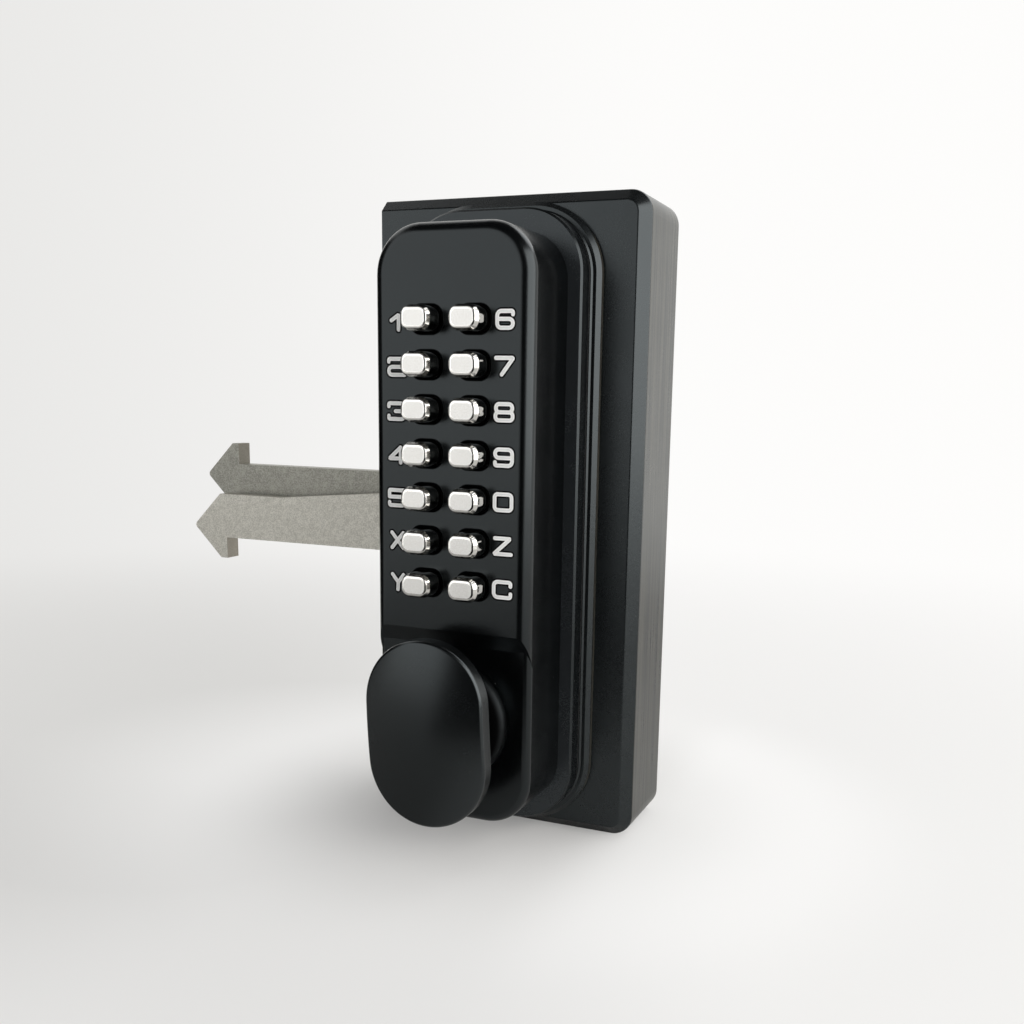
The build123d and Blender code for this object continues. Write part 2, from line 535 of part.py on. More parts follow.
def make_return_spring():
    """Coil round the crank's hub that turns the knob back, with a leg at each end."""
    x, z = KEYPAD_X, KNOB_Z
    front = CAVITY_FRONT + 1.0
    back = CRANK_FRONT - CRANK_HUB - 0.4
    coil = rod(10.0, front, back, x, z) - rod(8.6, front, back, x, z)
    coil += block(x - 10.0, x - 8.7, front, front + 1.4, z - 14, z)
    parts["knob_spring"] = coil


def tangent_hull(first, first_r, second, second_r):
    """Two circles joined by their outer tangents."""
    circles = [Pos(*first) * Circle(first_r), Pos(*second) * Circle(second_r)]
    return make_hull([e for c in circles for e in c.edges()])


def make_hooks():
    """Two mirrored hook bolts on one pin. The lower one lies in front."""
    eye = (HOOK_PIVOT_X, 0)
    neck_x = HOOK_PIVOT_X - 9.0
    neck_h = HOOK_BACK_H + (neck_x - HOOK_FLAT_END_X) * HOOK_SLOPE
    with BuildSketch() as lower:
        with BuildLine():
            Polyline(
                (HOOK_TIP_X, -HOOK_TIP_H),
                (HOOK_TIP_X + HOOK_BACK_H + HOOK_TIP_H, HOOK_BACK_H),
                (HOOK_FLAT_END_X, HOOK_BACK_H),
                (neck_x, neck_h),
                (HOOK_PIVOT_X, TAIL_OUTER_H - 2),
                (HOOK_PIVOT_X + 12.0, -TAIL_INNER_H),
                (TAIL_END_X, -TAIL_INNER_H),
                (TAIL_END_X, -TAIL_OUTER_H),
                (HOOK_BARB_X, -HOOK_ARM_H),
                (HOOK_BARB_X, -HOOK_BARB_H),
                (HOOK_TIP_X + HOOK_BARB_H - HOOK_TIP_H, -HOOK_BARB_H),
                close=True,
            )
        make_face()
        with Locations(eye):
            Circle(HOOK_ARM_H)
        corners = lower.vertices()
        fillet([v for v in corners if v.X < HOOK_TIP_X + 1], 1.4)
        fillet([v for v in corners if v.X > TAIL_END_X - 1], 3.0)
        fillet([v for v in corners if HOOK_TIP_X + 5 < v.X < HOOK_BARB_X + 1 and v.Y != -HOOK_ARM_H], 0.9)
        with Locations(eye):
            Circle(PIN_R + RUN, mode=Mode.SUBTRACT)
    # Each tail has a post beside the other hook's plane for the spring between them
    post_x, post_h = TAIL_END_X - 4.0, TAIL_INNER_H + 2.5
    gap, reach = HOOK_GAP / 2, SPRING_R
    lower_hook = slab(Pos(0, HOOK_Z) * lower.sketch, -HOOK_FACE, -gap)
    parts["lower_hook"] = lower_hook + rod(SPRING_POST_R, -gap, reach, post_x, HOOK_Z - post_h)
    upper_hook = slab(Pos(0, HOOK_Z) * mirror(lower.sketch, Plane.XZ), gap, HOOK_FACE)
    parts["upper_hook"] = upper_hook + rod(SPRING_POST_R, -reach, gap, post_x, HOOK_Z + post_h)
    half = post_h - SPRING_POST_R
    parts["hook_spring"] = Pos(post_x, 0, HOOK_Z) * Cylinder(SPRING_R, 2 * half)
    x, z = HOOK_PIVOT_X, HOOK_Z
    parts["hook_pin"] = rod(PIN_R, CAVITY_FRONT - SOCKET_DEPTH, COVER_SOCKET, x, z)
    rings = []
    for y0, y1 in ((CAVITY_FRONT, -HOOK_FACE - RUN), (RUN - gap, gap - RUN), (HOOK_FACE + RUN, CAVITY_BACK)):
        rings.append(rod(8.5, y0, y1, x, z) - rod(PIN_R, y0, y1, x, z))
    parts["hook_spacers"] = Compound(children=rings)


def make_centre_cam():
    """Cam that spreads the hooks' tails, and the rod that joins its crank to the spindle's."""
    body = Pos(CAM_X, HOOK_Z) * SlotOverall(2 * CAM_HALF_W, 2 * CAM_HALF_H)
    cam = slab(body, -HOOK_FACE - 0.2, CRANK_FRONT)
    cam += rod(CAM_SHAFT_R, CAVITY_FRONT - SOCKET_DEPTH + 0.2, -HOOK_FACE - 0.2, CAM_X, HOOK_Z)
    cam += slab(tangent_hull((CAM_X, HOOK_Z), CAM_HALF_H, CAM_PIN, 4.0), CRANK_FRONT, CRANK_BACK)
    cam += rod(CAM_SHAFT_R, CRANK_BACK, SHAFT_END, CAM_X, HOOK_Z)
    cam += rod(CRANK_PIN_R, CRANK_BACK, LINK_BACK + 0.3, *CAM_PIN)
    parts["centre_cam"] = cam
    link = slab(tangent_hull(DRIVE_PIN, LINK_END_R, CAM_PIN, LINK_END_R), LINK_FRONT, LINK_BACK)
    link -= rod(CRANK_PIN_R + RUN, LINK_FRONT, LINK_BACK, *DRIVE_PIN)
    link -= rod(CRANK_PIN_R + CLEAR, LINK_FRONT, LINK_BACK, *CAM_PIN)
    parts["link_rod"] = link


make_case()
make_back_cover()
make_keypad_shell()
make_code_chamber()
make_lock_plate()
make_buttons()
make_knob()
make_spindle()
make_return_spring()
make_hooks()
make_centre_cam()

os.makedirs("parts", exist_ok=True)
for node, shape in parts.items():
    export_step(shape, "parts/" + node + ".step")
    print(node, round(shape.volume, 1))
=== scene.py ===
"""Keypad gate lock: its finishes, painted legends, studio light and camera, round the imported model."""
import math

import bmesh
import bpy
import numpy as np
from mathutils import Matrix, Vector


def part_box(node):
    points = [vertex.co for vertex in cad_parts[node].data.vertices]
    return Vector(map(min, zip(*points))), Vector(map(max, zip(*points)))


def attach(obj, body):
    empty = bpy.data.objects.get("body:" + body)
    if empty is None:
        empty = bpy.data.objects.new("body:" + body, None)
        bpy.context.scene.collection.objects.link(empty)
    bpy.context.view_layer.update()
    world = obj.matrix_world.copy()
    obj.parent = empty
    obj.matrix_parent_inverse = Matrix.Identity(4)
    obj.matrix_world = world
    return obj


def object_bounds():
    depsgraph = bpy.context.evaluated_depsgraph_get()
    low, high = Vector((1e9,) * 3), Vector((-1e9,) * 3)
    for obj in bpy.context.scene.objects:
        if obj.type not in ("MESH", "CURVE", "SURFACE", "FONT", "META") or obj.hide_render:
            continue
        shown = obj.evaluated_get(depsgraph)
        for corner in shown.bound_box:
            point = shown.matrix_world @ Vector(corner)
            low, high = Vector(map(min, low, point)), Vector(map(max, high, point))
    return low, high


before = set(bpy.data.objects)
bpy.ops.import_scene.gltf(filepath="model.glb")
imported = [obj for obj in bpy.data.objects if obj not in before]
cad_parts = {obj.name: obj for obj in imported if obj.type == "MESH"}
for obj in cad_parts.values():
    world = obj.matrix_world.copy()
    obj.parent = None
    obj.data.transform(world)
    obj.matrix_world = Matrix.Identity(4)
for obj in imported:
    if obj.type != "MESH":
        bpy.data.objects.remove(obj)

CAD_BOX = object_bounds()
MM = 0.001

# Where the camera stands and how it looks, solved from the lock's own edges
CAMERA_PLACE = (0.19136, -0.33307, 0.04010)
CAMERA_AZIMUTH = 21.73
CAMERA_ELEVATION = 10.61
CAMERA_ROLL = 1.226
CAMERA_LENS = 37.974
CAMERA_SHIFT = (-0.04688, 0.08594)

# The buttons, as they stand on the keypad
ROW_PITCH = 12.7 * MM
COLUMN_PITCH = 15.24 * MM
BUTTON_ROWS = 7
BUTTON_SIZE = (9.5 * MM, 7.2 * MM, 3.0 * MM)  # width, height and corner radius
FACE_SIZE = (8.1 * MM, 5.8 * MM, 2.3 * MM)
BUTTON_PROUD = 7.8 * MM
FIRST_BUTTON = (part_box("button_1")[0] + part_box("button_1")[1]) / 2
KEYPAD_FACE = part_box("button_1")[0].y + BUTTON_PROUD

# The knob's boss on the keypad
KNOB_AXIS = (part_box("knob")[0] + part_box("knob")[1]) / 2
BOSS_R = 17.5 * MM

# The painted legends beside the buttons
LEGEND_COLUMNS = ((26.8 * MM, 60.6 * MM), (61.4 * MM, 61.1 * MM))  # X, and Z of the top row
LEGEND_W = 6.45 * MM
LEGEND_H = 5.65 * MM
STROKE_W = 2.1 * MM
# The dark rim beyond the white share is painted shade at the groove's edge
WHITE_SHARE = 0.53  # of the stroke's width; the rest is its dark rim
STROKE_ROUND = 1.25 * MM
SHARP_ROUND = 0.02 * MM
PAINT_RISE = 0.04 * MM
RIM_RISE = 0.012 * MM
EDGE_DEPTH = 0.05 * MM  # of the stroke's edge under the keypad's face
LATER_LIFT = 0.004 * MM  # of a legend's later stroke over the one before

# Seen from the lock, the directions in which the room is dark
TOWARD_PHOTOGRAPHER = (0.205, -0.963, 0.0)
TOWARD_FAR_LEFT = (-0.996, -0.087, 0.0)

# Painted shade: the black laid where shade falls, in the button holes, round the knob's boss and at the
# legends' rims
PAINTED_SHADE_BLACK = (0.003, 0.003, 0.0032)  # as a metal's colour, it mirrors almost nothing
FLOOR = CAD_BOX[0][2]


class Value:
    """A number that varies over a surface: one shader socket that takes Python's operators."""

    def __init__(self, finish, socket):
        self.finish = finish
        self.socket = socket

    def _math(self, operation, first, second=None, clamp=False):
        values = [first] if second is None else [first, second]
        return self.finish.node("ShaderNodeMath", values, operation=operation, use_clamp=clamp)

    def __add__(self, other):
        return self._math("ADD", self, other)

    def __radd__(self, other):
        return self._math("ADD", other, self)

    def __sub__(self, other):
        return self._math("SUBTRACT", self, other)

    def __rsub__(self, other):
        return self._math("SUBTRACT", other, self)

    def __mul__(self, other):
        return self._math("MULTIPLY", self, other)

    def __rmul__(self, other):
        return self._math("MULTIPLY", other, self)

    def __truediv__(self, other):
        return self._math("DIVIDE", self, other)

    def __pow__(self, other):
        return self._math("POWER", self, other)

    def most(self, other):
        """The larger of two values."""
        return self._math("MAXIMUM", self, other)

    def fold(self, middle, pitch):
        """The distance from the nearest of many places, a pitch apart, of which middle is one."""
        return self._math("PINGPONG", self - middle, pitch / 2)

    def above(self, low, high):
        """0 below low, 1 above high, and smooth between."""
        settings = dict(interpolation_type="SMOOTHSTEP")
        return self.finish.node("ShaderNodeMapRange", [self, low, high], out="Result", **settings)


class Finish:
    """A material or world under construction, with one method that adds any node."""

    def __init__(self, name, world=False):
        self.owner = bpy.data.worlds.new(name) if world else bpy.data.materials.new(name)
        self.owner.use_nodes = True
        self.tree = self.owner.node_tree
        self.tree.nodes.clear()

    def node(self, kind, values=(), out=0, **settings):
        """Adds a node: settings first, then the values or links of its sockets, in order or by name."""
        made = self.tree.nodes.new(kind)
        for key, value in settings.items():
            setattr(made, key, value)
        pairs = values.items() if isinstance(values, dict) else enumerate(values)
        for key, value in pairs:
            self.feed(made.inputs[key], value)
        return Value(self, made.outputs[out]) if len(made.outputs) else None

    def feed(self, socket, value):
        """Links a value to a socket, or sets the socket to a number or colour."""
        if isinstance(value, Value):
            self.tree.links.new(value.socket, socket)
        elif value is not None:
            socket.default_value = value

    def place(self):
        """Object coordinates, in metres."""
        return self.node("ShaderNodeTexCoord", out="Object")

    def stretched(self, scale):
        """Object coordinates, scaled along each axis."""
        return self.node("ShaderNodeMapping", {"Vector": self.place(), "Scale": scale}, vector_type="POINT")

    def noise(self, scale, detail=2.0, roughness=0.5, where=None):
        values = {"Vector": where or self.place(), "Scale": scale, "Detail": detail, "Roughness": roughness}
        return self.node("ShaderNodeTexNoise", values, out="Fac")

    def cells(self, scale, out="Distance"):
        return self.node("ShaderNodeTexVoronoi", {"Vector": self.place(), "Scale": scale}, out=out)

    def dust(self, spacing, size):
        """Sparse round specks: 1 on a speck, whose size varies from cell to cell down to none."""
        reach = self.axis(self.cells(1 / spacing, out="Color"), "X") * size / spacing
        return 1 - (self.cells(1 / spacing) / (reach + 1e-4)).above(0.6, 1.0)

    def toward(self, vector, direction):
        """The cosine between a vector and a fixed direction."""
        return self.node("ShaderNodeVectorMath", [vector, direction], out="Value", operation="DOT_PRODUCT")

    def beyond(self, size):
        """How far a place lies outside the nearest of the buttons' rounded rectangles of this size: its
        distance from the corner's centre less the corner's radius, and below zero inside."""
        width, height, corner = size
        wide = self.axis(self.place(), "X").fold(FIRST_BUTTON.x, COLUMN_PITCH)
        high = self.axis(self.place(), "Z").fold(FIRST_BUTTON.z, ROW_PITCH)
        wide = (wide - width / 2 + corner).most(0.0)
        high = (high - height / 2 + corner).most(0.0)
        return (wide * wide + high * high) ** 0.5 - corner

    def within(self, name, low, high):
        """1 where the coordinate lies between two values, and 0 elsewhere."""
        here = self.axis(self.place(), name)
        return here.above(low, low + 0.2 * MM) * (1 - here.above(high - 0.2 * MM, high))

    def axis(self, vector, name):
        """One coordinate of a vector."""
        return self.node("ShaderNodeSeparateXYZ", [vector], out=name)

    def facing(self, name):
        """How far the surface faces along an axis, from -1 to 1."""
        return self.axis(self.node("ShaderNodeTexCoord", out="Normal"), name)

    def mix(self, factor, dark, light):
        """A colour between two colours."""
        ends = [(*end, 1.0) if isinstance(end, tuple) and len(end) == 3 else end for end in (dark, light)]
        return self.node("ShaderNodeMix", {0: factor, 6: ends[0], 7: ends[1]}, out=2, data_type="RGBA")

    def bump(self, height, distance):
        """The normal that a height gives, of which 1 stands for the distance."""
        return self.node("ShaderNodeBump", {"Height": height, "Distance": distance, "Strength": 1.0},
                         out="Normal")

    def surface(self, colour, roughness, metallic=0.0, normal=None, **more):
        """Closes the material with its shader, and gives it back."""
        if isinstance(colour, tuple) and len(colour) == 3:
            colour = (*colour, 1.0)
        values = {"Base Color": colour, "Roughness": roughness, "Metallic": metallic, "Normal": normal}
        values.update(more)
        shader = self.node("ShaderNodeBsdfPrincipled", values)
        self.node("ShaderNodeOutputMaterial", {"Surface": shader})
        return self.owner


def painted_keypad_shade(f):
    """1 round the button holes and on the knob's boss, where shade is painted as a duller, darker coat, and 0
    elsewhere.
    """
    last_column = FIRST_BUTTON.x + COLUMN_PITCH
    last_row = FIRST_BUTTON.z - (BUTTON_ROWS - 1) * ROW_PITCH
    across = f.within("X", FIRST_BUTTON.x - 0.45 * COLUMN_PITCH, last_column + 0.45 * COLUMN_PITCH)
    upright = f.within("Z", last_row - 0.5 * ROW_PITCH, FIRST_BUTTON.z + 0.5 * ROW_PITCH)
    holes = (1 - f.beyond(BUTTON_SIZE).above(0.6 * MM, 1.0 * MM)) * across * upright
    right, up = f.axis(f.place(), "X") - KNOB_AXIS.x, f.axis(f.place(), "Z") - KNOB_AXIS.z
    boss = 1 - ((right * right + up * up) ** 0.5).above(BOSS_R - 1.0 * MM, BOSS_R + 1.5 * MM)
    return holes.most(boss)


def black_coat(name, colour, roughness, peel=1.0, brushed=False, painted_shade=None, crown=0.0, ior=1.5,
               front_sheen=0.0):
    """Satin black coat: a fine grain on a soft orange peel, faint clouds, and a little dust.
    A brushed coat also shows upright brushing on the sides that face right. Where shade is painted on
    it, it is duller and darker. A crown turns the surface outward in step with the distance from the knob's
    axis, as its height falls with the square of that distance. A front sheen paints a bluish highlight on
    the faces that look to the front."""
    f = Finish(name)
    grain = f.noise(2800.0, detail=2.0, roughness=0.6)
    soft = f.noise(700.0, detail=1.0)
    cloud = f.noise(60.0, detail=4.0, roughness=0.6)
    dust = f.dust(5.0 * MM, 0.22 * MM) * f.noise(140.0).above(0.45, 0.6)
    height = peel * (0.35 * grain + soft)
    rough = roughness - 0.05 + 0.10 * cloud + 0.05 * grain + 0.3 * dust
    ground = f.mix(cloud.above(0.35, 0.7), colour, tuple(1.5 * c for c in colour))
    if brushed:
        side = f.facing("X").above(0.8, 0.95)
        fine = f.noise(1.0, detail=4.0, roughness=0.7, where=f.stretched((0.0, 7000.0, 70.0)))
        broad = f.noise(1.0, detail=3.0, roughness=0.6, where=f.stretched((0.0, 640.0, 11.0)))
        streak = 0.3 * fine + 0.7 * broad
        ground = f.mix(side * streak.above(0.38, 0.62), ground, (0.050, 0.047, 0.038))
        height = height * (1 - side) + side * streak * 4.0
        rough = rough + side * (0.10 * streak - 0.03)
    # Painted sheen: a bluish grey laid on the faces that look to the front, lighter as if lit from there
    if front_sheen:
        ground = f.mix((f.facing("Y") * -1.0).above(0.90, 0.98) * front_sheen, ground, (0.50, 0.56, 0.62))
    paint = f.mix(dust * 0.7, ground, (0.30, 0.30, 0.29))
    metal = 0.0
    # Painted shade: round the holes and on the boss the coat turns to a duller black metal that mirrors
    # almost nothing
    if painted_shade:
        metal = painted_shade(f)
        paint = f.mix(metal, paint, PAINTED_SHADE_BLACK)
        rough = rough + 0.55 * metal
    height = 0.004 * MM * height
    if crown:
        right = f.axis(f.place(), "X") - KNOB_AXIS.x
        height = height - crown * right * right
    constant = {"Specular Tint": (0.86, 0.96, 1.0, 1.0), "IOR": ior}
    return f.surface(paint, rough, metal, normal=f.bump(height, 1.0), **constant)


def hook_steel(name, dull, bright):
    """Tumbled stainless: a grey ground with fine darker flecks, soft patches and a few small dents,
    and a darker, browner tone on the sides that face right."""
    f = Finish(name)
    fleck = f.noise(1900.0, detail=4.0, roughness=0.75)
    patch = f.noise(420.0, detail=5.0, roughness=0.7)
    dent = f.dust(3.5 * MM, 0.5 * MM)
    facing_right = f.facing("X").above(0.5, 0.9)
    shade = 0.70 * fleck + 0.30 * patch
    ground = f.mix(shade.above(0.38, 0.62), dull, bright)
    paint = f.mix(facing_right * 0.75, ground, (0.34 * bright[0], 0.31 * bright[1], 0.28 * bright[2]))
    rough = 0.36 + 0.16 * fleck + 0.06 * patch
    return f.surface(paint, rough, metallic=0.85, normal=f.bump(fleck + 0.8 * patch - 0.8 * dent, 0.010 * MM))


def button_chrome():
    """Plated buttons: a satin front face, whose polished rim rolls over to a bright bevel and sides. What
    stays behind the keypad's face, down in the holes, gets painted shade: a dull black metal."""
    f = Finish("button_chrome")
    toward_front = f.facing("Y") * -1.0
    front = toward_front.above(0.97, 0.995)
    bevel = toward_front.above(0.15, 0.40)
    inset = f.beyond(FACE_SIZE) * -1.0
    satin = front * inset.above(0.55 * MM, 0.90 * MM)
    rolled = inset.above(-0.15 * MM, 0.75 * MM)
    haze = f.noise(2300.0, detail=3.0, roughness=0.6)
    smear = f.noise(420.0, detail=3.0)
    rough = 0.06 + 0.04 * smear + 0.06 * bevel + satin * (0.20 + 0.12 * haze)
    face = f.mix(haze.above(0.3, 0.7), (0.86, 0.85, 0.82), (0.95, 0.945, 0.925))
    paint = f.mix(front, f.mix(smear, (0.66, 0.65, 0.62), (0.76, 0.75, 0.725)), face)
    # Painted shade: the part of each button down in its hole is painted a dull black that mirrors almost
    # nothing
    behind = f.axis(f.place(), "Y").above(KEYPAD_FACE + 0.2 * MM, KEYPAD_FACE + 0.6 * MM)
    paint = f.mix(behind, paint, PAINTED_SHADE_BLACK)
    rough = rough + 0.6 * behind
    height = 0.003 * (haze * satin + 0.4 * smear) + 0.14 * rolled
    return f.surface(paint, rough, metallic=1.0, normal=f.bump(height, 1.0 * MM))


def bare_metal(name, colour, roughness):
    """Machined or drawn metal with fine scratches and a little tarnish."""
    f = Finish(name)
    scratch = f.noise(1.0, detail=3.0, where=f.stretched((5200.0, 400.0, 5200.0)))
    tarnish = f.noise(220.0, detail=4.0)
    paint = f.mix(tarnish.above(0.3, 0.65), tuple(0.7 * c for c in colour), colour)
    return f.surface(paint, roughness + 0.15 * tarnish, metallic=1.0, normal=f.bump(scratch, 0.004 * MM))


def gasket_rubber():
    """Matt foam rubber with small closed pores."""
    f = Finish("gasket_rubber")
    pores = f.cells(1900.0)
    paint = f.mix(pores.above(0.1, 0.6), (0.0025, 0.0025, 0.003), (0.006, 0.006, 0.0065))
    return f.surface(paint, 0.75 + 0.1 * pores, normal=f.bump(pores, 0.02 * MM))


def legend_paint():
    """White paint in the letter grooves, with painted shade at the groove's rim: a black there that mirrors
    almost nothing. It is light beside the rim, and a little greyer in the middle. The attribute across runs
    from 0 in the middle to 1 at the rims."""
    f = Finish("legend_paint")
    across = f.node("ShaderNodeAttribute", out="Fac", attribute_name="across")
    speck = f.noise(3500.0, detail=2.0)
    greyer_middle = 1 - (across + 0.12 * speck).above(0.16, 0.34)
    paint = f.mix(greyer_middle, (0.98, 0.985, 0.985), (0.86, 0.885, 0.89))
    # Painted shade: at the rim the paint turns to a black metal that mirrors almost nothing
    edge = across.above(WHITE_SHARE, WHITE_SHARE + 0.05)
    edged = f.mix(edge, paint, PAINTED_SHADE_BLACK)
    return f.surface(edged, 0.40 + 0.2 * speck, edge, normal=f.bump(across * across, 0.03 * MM))


def dress(node, material):
    """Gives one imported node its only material."""
    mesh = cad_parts[node].data
    mesh.materials.clear()
    mesh.materials.append(material)


def rounded_path(points, radius, closed=False, step=0.12 * MM):
    """Points along straight runs, with each corner turned on an arc of the radius or as much as fits.
    The arc's centre lies on the corner's bisector, and the arc goes from one run's direction, seen from
    there, to the other's by equal angles. The points then stand a step apart along the whole path."""
    points = [np.array(p, float) for p in points]
    count = len(points)
    path = []
    for i, corner in enumerate(points):
        if not closed and i in (0, count - 1):
            path.append(corner[None])
            continue
        back, ahead = points[i - 1] - corner, points[(i + 1) % count] - corner
        run_back, run_ahead = np.linalg.norm(back), np.linalg.norm(ahead)
        back, ahead = back / run_back, ahead / run_ahead
        half = math.acos(np.clip(back @ ahead, -1, 1)) / 2
        trim = min(radius / math.tan(half), run_back / 2.001, run_ahead / 2.001)
        middle = (back + ahead) / np.linalg.norm(back + ahead)
        centre = corner + middle * trim / math.cos(half)
        turn = np.linspace(-1, 1, 13)[:, None]
        start, end = corner + back * trim - centre, corner + ahead * trim - centre
        reach = np.linalg.norm(start)
        sweep = math.pi / 2 - half
        arc = (start * np.sin(sweep * (1 - turn)) + end * np.sin(sweep * (1 + turn))) / math.sin(2 * sweep)
        path.append(centre + arc * reach / np.linalg.norm(arc, axis=1, keepdims=True))
    path = np.concatenate(path + ([path[0][:1]] if closed else []))
    gap = np.r_[0, np.cumsum(np.linalg.norm(np.diff(path, axis=0), axis=1))]
    keep = np.r_[True, np.diff(gap) > 1e-9]
    gap, path = gap[keep], path[keep]
    even = np.linspace(0, gap[-1], max(int(gap[-1] / step), 8))
    return np.stack([np.interp(even, gap, path[:, k]) for k in (0, 1)], axis=1)


def painted_stroke(path, closed, lift):
    """A ribbon along a path, with s from -1 to 1 across it. Up to WHITE_SHARE the height is RIM_RISE plus
    lift plus PAINT_RISE times (1 - exp(-(s / 0.25)^2) / 3), as paint sinks in the middle of a groove, and
    beyond that it drops to RIM_RISE, and under the face at the very edge. At an open end each line of
    the ribbon turns through a quarter circle about the path's end, to meet its twin from the other side."""
    along = np.gradient(path, axis=0)
    if closed:
        along[0] = along[-1] = path[1] - path[-2]
    along /= np.linalg.norm(along, axis=1, keepdims=True)
    across = np.stack([-along[:, 1], along[:, 0]], axis=1)
    half_s = np.array([0.16, 0.32, WHITE_SHARE, WHITE_SHARE + 0.06, 0.97, 1.0])
    s = np.r_[-half_s[::-1], 0.0, half_s]
    reach = (s * STROKE_W / 2)[:, None]
    flat = path[:, None] + across[:, None] * reach
    if not closed:
        turn = np.linspace(0, math.pi / 2, 8)[1:, None, None]
        first = path[0] + across[0] * reach * np.cos(turn) - along[0] * abs(reach) * np.sin(turn)
        last = path[-1] + across[-1] * reach * np.cos(turn) + along[-1] * abs(reach) * np.sin(turn)
        flat = np.concatenate([first[::-1], flat, last])
    white = lift + PAINT_RISE * (1 - np.exp(-(s / 0.25) ** 2) / 3)
    rise = RIM_RISE + np.where(abs(s) <= WHITE_SHARE, white, 0.0)
    rise[[0, -1]] = -EDGE_DEPTH
    grid = np.stack([flat[..., 0], np.broadcast_to(KEYPAD_FACE - rise, flat.shape[:2]), flat[..., 1]], axis=2)
    return grid, np.broadcast_to(abs(s), flat.shape[:2])


def grid_faces(rows, columns, first=0):
    """Quads between the rows and columns of a grid of vertices."""
    index = first + np.arange(rows * columns).reshape(rows, columns)
    quads = np.stack([index[:-1, :-1], index[1:, :-1], index[1:, 1:], index[:-1, 1:]], axis=-1)
    return quads.reshape(-1, 4)


def mesh_piece(name, vertices, faces, material):
    """A smooth mesh object at the origin, in the scene."""
    mesh = bpy.data.meshes.new(name)
    mesh.from_pydata(vertices.tolist(), [], faces.tolist())
    mesh.polygons.foreach_set("use_smooth", [True] * len(mesh.polygons))
    mesh.materials.append(material)
    piece = bpy.data.objects.new(name, mesh)
    bpy.context.scene.collection.objects.link(piece)
    return piece


def weld(mesh):
    """Joins the vertices that lie on one another, so that seams and stroke ends are closed."""
    work = bmesh.new()
    work.from_mesh(mesh)
    bmesh.ops.remove_doubles(work, verts=work.verts, dist=0.001 * MM)
    work.to_mesh(mesh)
    work.free()


# Each legend's strokes: corner points in a unit square, whether the stroke closes, and its roundness
LEGENDS = {
    "1": [([(0.20, 0.60), (0.64, 0.93), (0.64, 0.02)], False, 0.0)],
    "2": [([(0.02, 0.82), (0.02, 1), (1, 1), (1, 0.5), (0.02, 0.5), (0.02, 0), (1, 0)], False, 0.9)],
    "3": [([(0, 0.80), (0, 1), (1, 1), (1, 0), (0, 0), (0, 0.2)], False, 1.0),
          ([(0.42, 0.5), (0.95, 0.5)], False, 0.0)],
    "4": [([(0.72, 0.98), (0.03, 0.26), (1, 0.26)], False, 0.0), ([(0.72, 0.98), (0.72, 0.0)], False, 0.0)],
    "5": [([(1, 1), (0, 1), (0, 0.56)], False, 0.25),
          ([(0, 0.56), (1, 0.56), (1, 0), (0, 0), (0, 0.2)], False, 1.0)],
    "x": [([(0.14, 1), (0.86, 0)], False, 0.0), ([(0.86, 1), (0.14, 0)], False, 0.0)],
    "y": [([(0.16, 1), (0.52, 0.48), (0.86, 1)], False, 0.0), ([(0.52, 0.48), (0.50, 0)], False, 0.0)],
    "6": [([(0.95, 0.80), (0.95, 1), (0.05, 1), (0.05, 0), (0.95, 0), (0.95, 0.53), (0.16, 0.53)],
           False, 1.0)],
    "7": [([(0, 1), (1, 1), (0.34, 0)], False, 0.12)],
    "8": [([(0.03, 0.5), (0.97, 0.5), (0.97, 1), (0.03, 1)], True, 0.8),
          ([(0, 0), (1, 0), (1, 0.5), (0, 0.5)], True, 0.8)],
    "9": [([(0, 0.20), (0, 0), (1, 0), (1, 1), (0, 1), (0, 0.48), (0.88, 0.48)], False, 1.0)],
    "0": [([(0, 0), (1, 0), (1, 1), (0, 1)], True, 0.8)],
    "z": [([(0.04, 1), (0.94, 1), (0.0, 0), (1, 0)], False, 0.0)],
    "c": [([(1, 0.74), (1, 1), (0, 1), (0, 0), (1, 0), (1, 0.26)], False, 1.0)],
}


def make_legend(key, x, z, material):
    """One painted figure or letter: its strokes laid on the keypad's face about (x, z). The attribute
    across holds how far each vertex lies from its stroke's middle, in half widths."""
    size = np.array([LEGEND_W, LEGEND_H]) - WHITE_SHARE * STROKE_W
    vertices, faces, across, count = [], [], [], 0
    for number, (corners, closed, roundness) in enumerate(LEGENDS[key]):
        corners = [np.array([x, z]) + (np.array(c) - 0.5) * size for c in corners]
        path = rounded_path(corners, max(roundness * STROKE_ROUND, SHARP_ROUND), closed)
        grid, shade = painted_stroke(path, closed, number * LATER_LIFT)
        rows, columns = grid.shape[:2]
        vertices.append(grid.reshape(-1, 3))
        across.append(shade.reshape(-1))
        faces.append(grid_faces(rows, columns, count))
        count += rows * columns
    piece = mesh_piece("legend_" + key, np.concatenate(vertices), np.concatenate(faces), material)
    layer = piece.data.attributes.new("across", "FLOAT", "POINT")
    layer.data.foreach_set("value", np.concatenate(across))
    weld(piece.data)
    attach(piece, "lock")


def make_legends():
    """The fourteen legends, two columns of seven from the top, left column first."""
    material = legend_paint()
    for i, key in enumerate("12345xy67890zc"):
        column, row = divmod(i, BUTTON_ROWS)
        x, top = LEGEND_COLUMNS[column]
        make_legend(key, x, top - row * ROW_PITCH, material)


